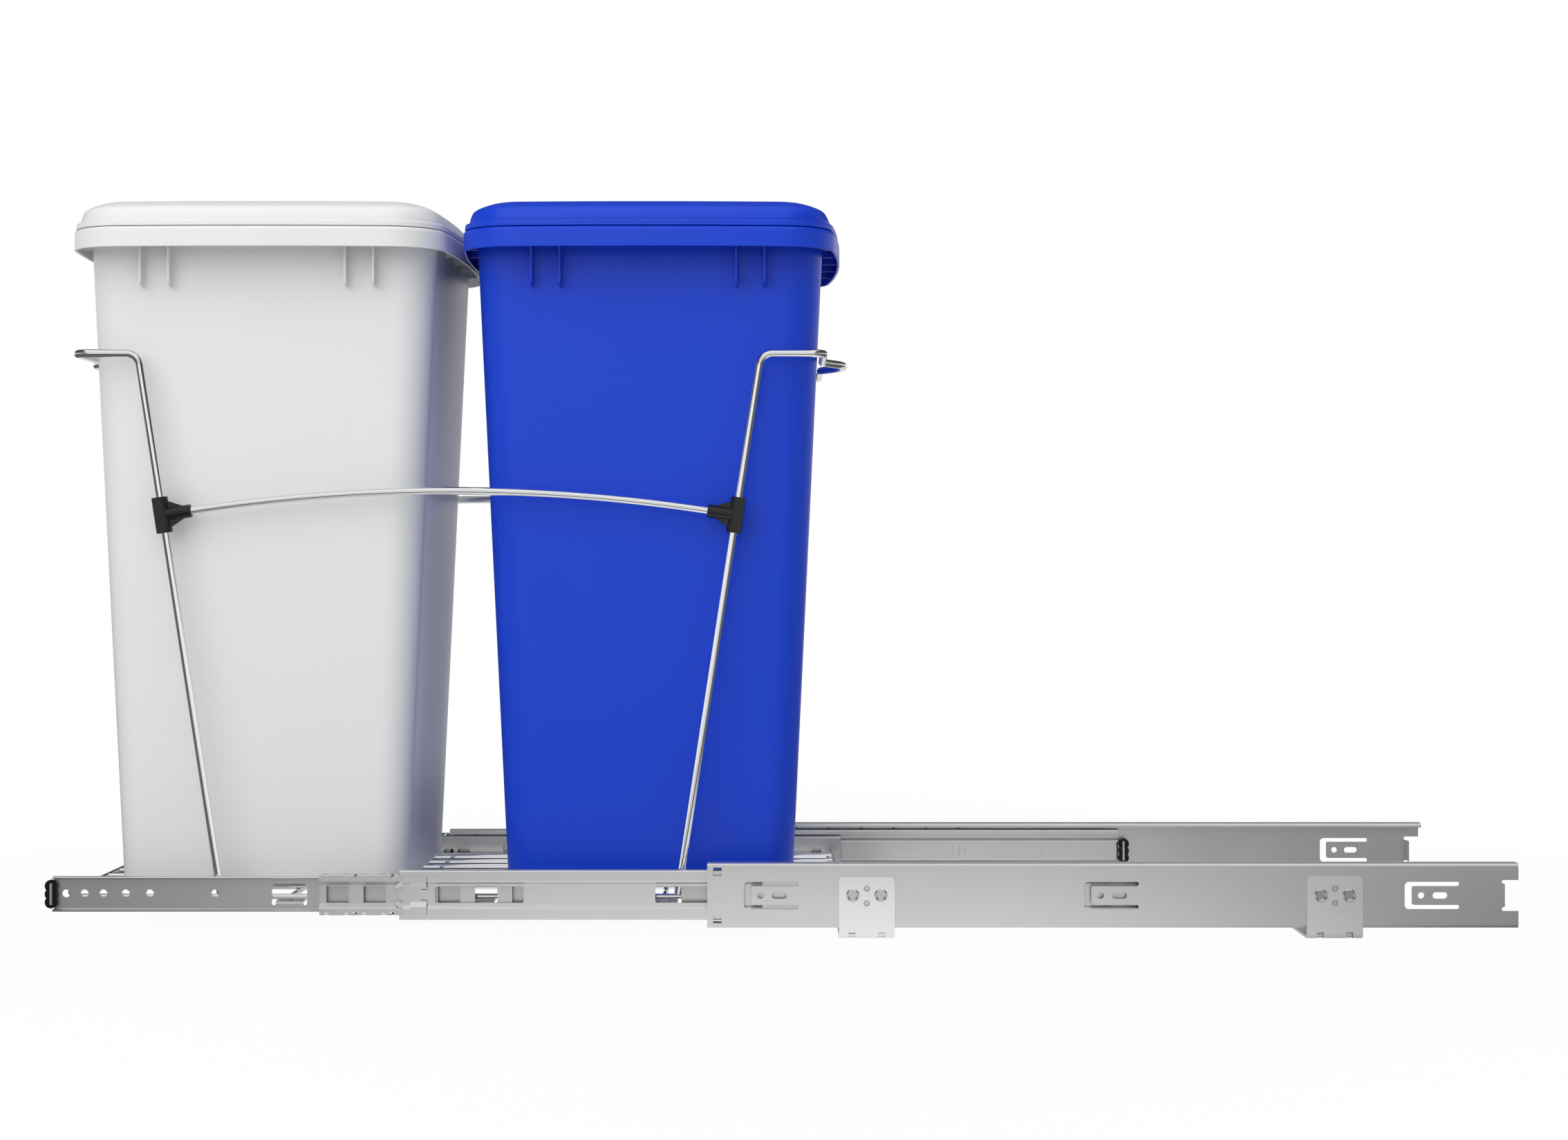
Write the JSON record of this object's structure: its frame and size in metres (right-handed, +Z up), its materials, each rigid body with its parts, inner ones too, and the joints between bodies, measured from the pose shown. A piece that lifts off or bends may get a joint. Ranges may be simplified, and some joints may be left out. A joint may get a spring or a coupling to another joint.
{
  "type": "pull-out waste bin unit",
  "caption": "Under-counter pull-out waste unit: lidded plastic bins in a chromed wire cradle that rolls on full-extension ball-bearing slides over cross rails.",
  "frame": {"origin": "middle of the front cross rail's underside, on the cabinet floor", "axes": "+X to the back of the cabinet, +Y to its left side, +Z up; the unit pulls out along -X"},
  "size_m": [1.018, 0.3, 0.514],
  "materials": {
    "rail": "bright zinc plate",
    "rivet": "bright nickel plate",
    "slide": "zinc plate, satin",
    "cage": "thin pressed sheet, satin",
    "wire": "polished chrome plate",
    "tee": "moulded black, semi-gloss",
    "buffer": "black, matt",
    "white_plastic": "moulded, satin",
    "blue_plastic": "moulded, satin"
  },
  "bodies": {
    "base": {"front_cross_rail": "rail", "rear_cross_rail": "rail", "front_rivet_a_right": "rivet", "front_rivet_b_right": "rivet", "rear_rivet_a_right": "rivet", "rear_rivet_b_right": "rivet", "front_rivet_a_left": "rivet", "front_rivet_b_left": "rivet", "rear_rivet_a_left": "rivet", "rear_rivet_b_left": "rivet", "cabinet_member_right": "slide", "cabinet_member_left": "slide"},
    "outer_cage_right": {"outer_ball_cage_right": "cage"},
    "outer_cage_left": {"outer_ball_cage_left": "cage"},
    "intermediate_right": {"intermediate_member_right": "slide", "rear_buffer_right": "buffer"},
    "intermediate_left": {"intermediate_member_left": "slide", "rear_buffer_left": "buffer"},
    "inner_cage_right": {"inner_ball_cage_right": "cage"},
    "inner_cage_left": {"inner_ball_cage_left": "cage"},
    "carriage": {"drawer_member_right": "slide", "drawer_member_left": "slide", "front_buffer_right": "buffer", "front_buffer_left": "buffer", "wire_tray": "wire", "front_hoop": "wire", "rear_hoop": "wire", "side_arch_right": "wire", "side_arch_left": "wire", "front_tee_right": "tee", "rear_tee_right": "tee", "front_tee_left": "tee", "rear_tee_left": "tee"},
    "white_bin": {"front_bin": "white_plastic"},
    "white_lid": {"front_lid": "white_plastic"},
    "blue_bin": {"rear_bin": "blue_plastic"},
    "blue_lid": {"rear_lid": "blue_plastic"}
  },
  "joints": [
    {"name": "carriage_slide", "type": "slide", "parent": "base", "child": "carriage", "axis": [-1, 0, 0], "range_m": [-0.441, 0.106]},
    {"name": "intermediate_right_slide", "type": "slide", "parent": "base", "child": "intermediate_right", "axis": [-1, 0, 0], "range_m": [-0.2205, 0.053]},
    {"name": "intermediate_left_slide", "type": "slide", "parent": "base", "child": "intermediate_left", "axis": [-1, 0, 0], "range_m": [-0.2205, 0.053]},
    {"name": "inner_cage_right_roll", "type": "slide", "parent": "base", "child": "inner_cage_right", "axis": [-1, 0, 0], "range_m": [-0.33075, 0.0795]},
    {"name": "inner_cage_left_roll", "type": "slide", "parent": "base", "child": "inner_cage_left", "axis": [-1, 0, 0], "range_m": [-0.33075, 0.0795]},
    {"name": "outer_cage_right_roll", "type": "slide", "parent": "base", "child": "outer_cage_right", "axis": [-1, 0, 0], "range_m": [-0.11025, 0.0265]},
    {"name": "outer_cage_left_roll", "type": "slide", "parent": "base", "child": "outer_cage_left", "axis": [-1, 0, 0], "range_m": [-0.11025, 0.0265]},
    {"name": "white_bin_lift", "type": "slide", "parent": "carriage", "child": "white_bin", "axis": [0, 0, 1], "range_m": [0, 0.4]},
    {"name": "blue_bin_lift", "type": "slide", "parent": "carriage", "child": "blue_bin", "axis": [0, 0, 1], "range_m": [0, 0.4]},
    {"name": "white_lid_lift", "type": "slide", "parent": "white_bin", "child": "white_lid", "axis": [0, 0, 1], "range_m": [0, 0.12]},
    {"name": "blue_lid_lift", "type": "slide", "parent": "blue_bin", "child": "blue_lid", "axis": [0, 0, 1], "range_m": [0, 0.12]}
  ],
  "couplings": [
    {"joint": "intermediate_right_slide", "follows": "carriage_slide", "ratio": 0.5},
    {"joint": "intermediate_left_slide", "follows": "carriage_slide", "ratio": 0.5},
    {"joint": "inner_cage_right_roll", "follows": "carriage_slide", "ratio": 0.75},
    {"joint": "inner_cage_left_roll", "follows": "carriage_slide", "ratio": 0.75},
    {"joint": "outer_cage_right_roll", "follows": "carriage_slide", "ratio": 0.25},
    {"joint": "outer_cage_left_roll", "follows": "carriage_slide", "ratio": 0.25}
  ]
}
